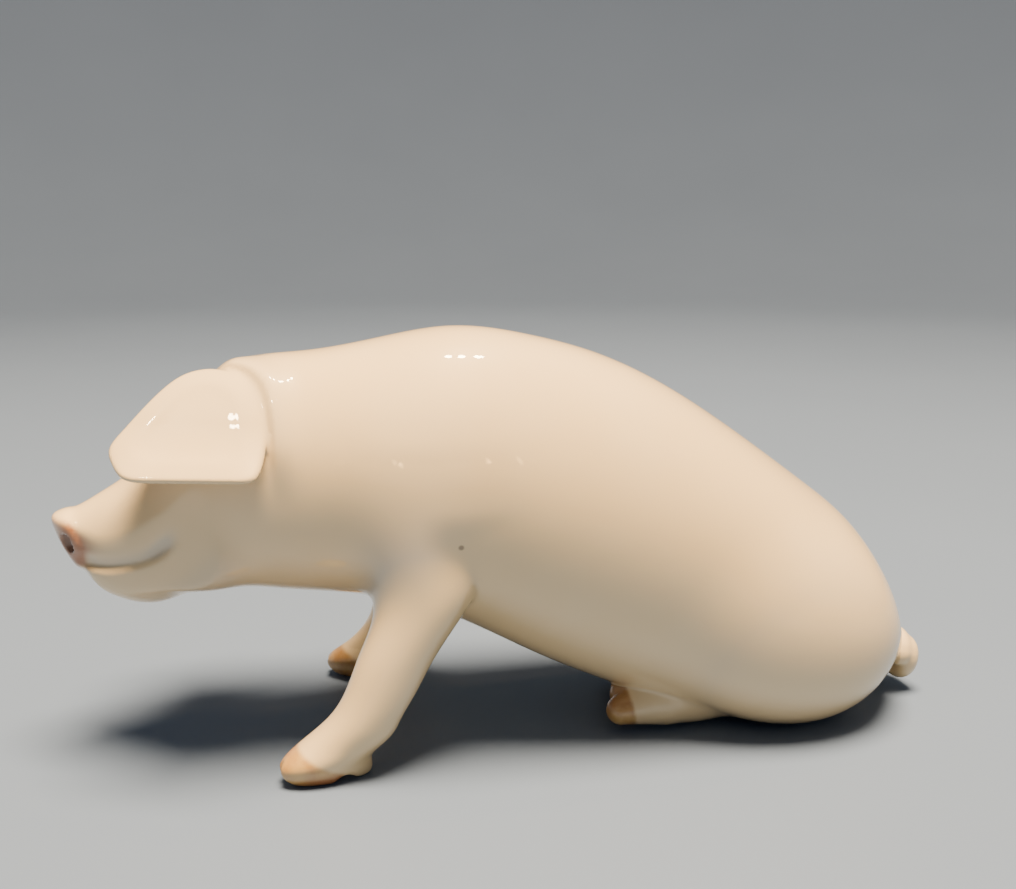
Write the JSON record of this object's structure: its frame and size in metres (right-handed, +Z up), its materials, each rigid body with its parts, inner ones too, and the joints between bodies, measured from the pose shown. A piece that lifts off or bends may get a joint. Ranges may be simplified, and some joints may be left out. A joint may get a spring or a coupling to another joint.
{
  "type": "piggy bank",
  "caption": "Sitting pig in glazed porcelain, hollow, with a coin slot above the tail and a rubber stopper in the base.",
  "frame": {"origin": "on the table, under the middle of the bounding box", "axes": "+Z up, nose towards -X, the pig's left side towards -Y"},
  "size_m": [0.1428, 0.0493, 0.0651],
  "materials": {
    "porcelain": "clear gloss glaze over ivory white porcelain, with the snout and hooves painted under the glaze",
    "rubber": "matt pale grey rubber"
  },
  "bodies": {
    "pig": {"body_shell": "porcelain", "left_ear": "porcelain", "right_ear": "porcelain", "left_front_leg": "porcelain", "right_front_leg": "porcelain", "left_hind_foot": "porcelain", "right_hind_foot": "porcelain", "tail": "porcelain"},
    "bung": {"stopper": "rubber"}
  },
  "joints": [
    {"name": "stopper_pull", "type": "slide", "parent": "pig", "child": "bung", "axis": [0, 0, -1], "range_m": [0, 0.02]}
  ]
}
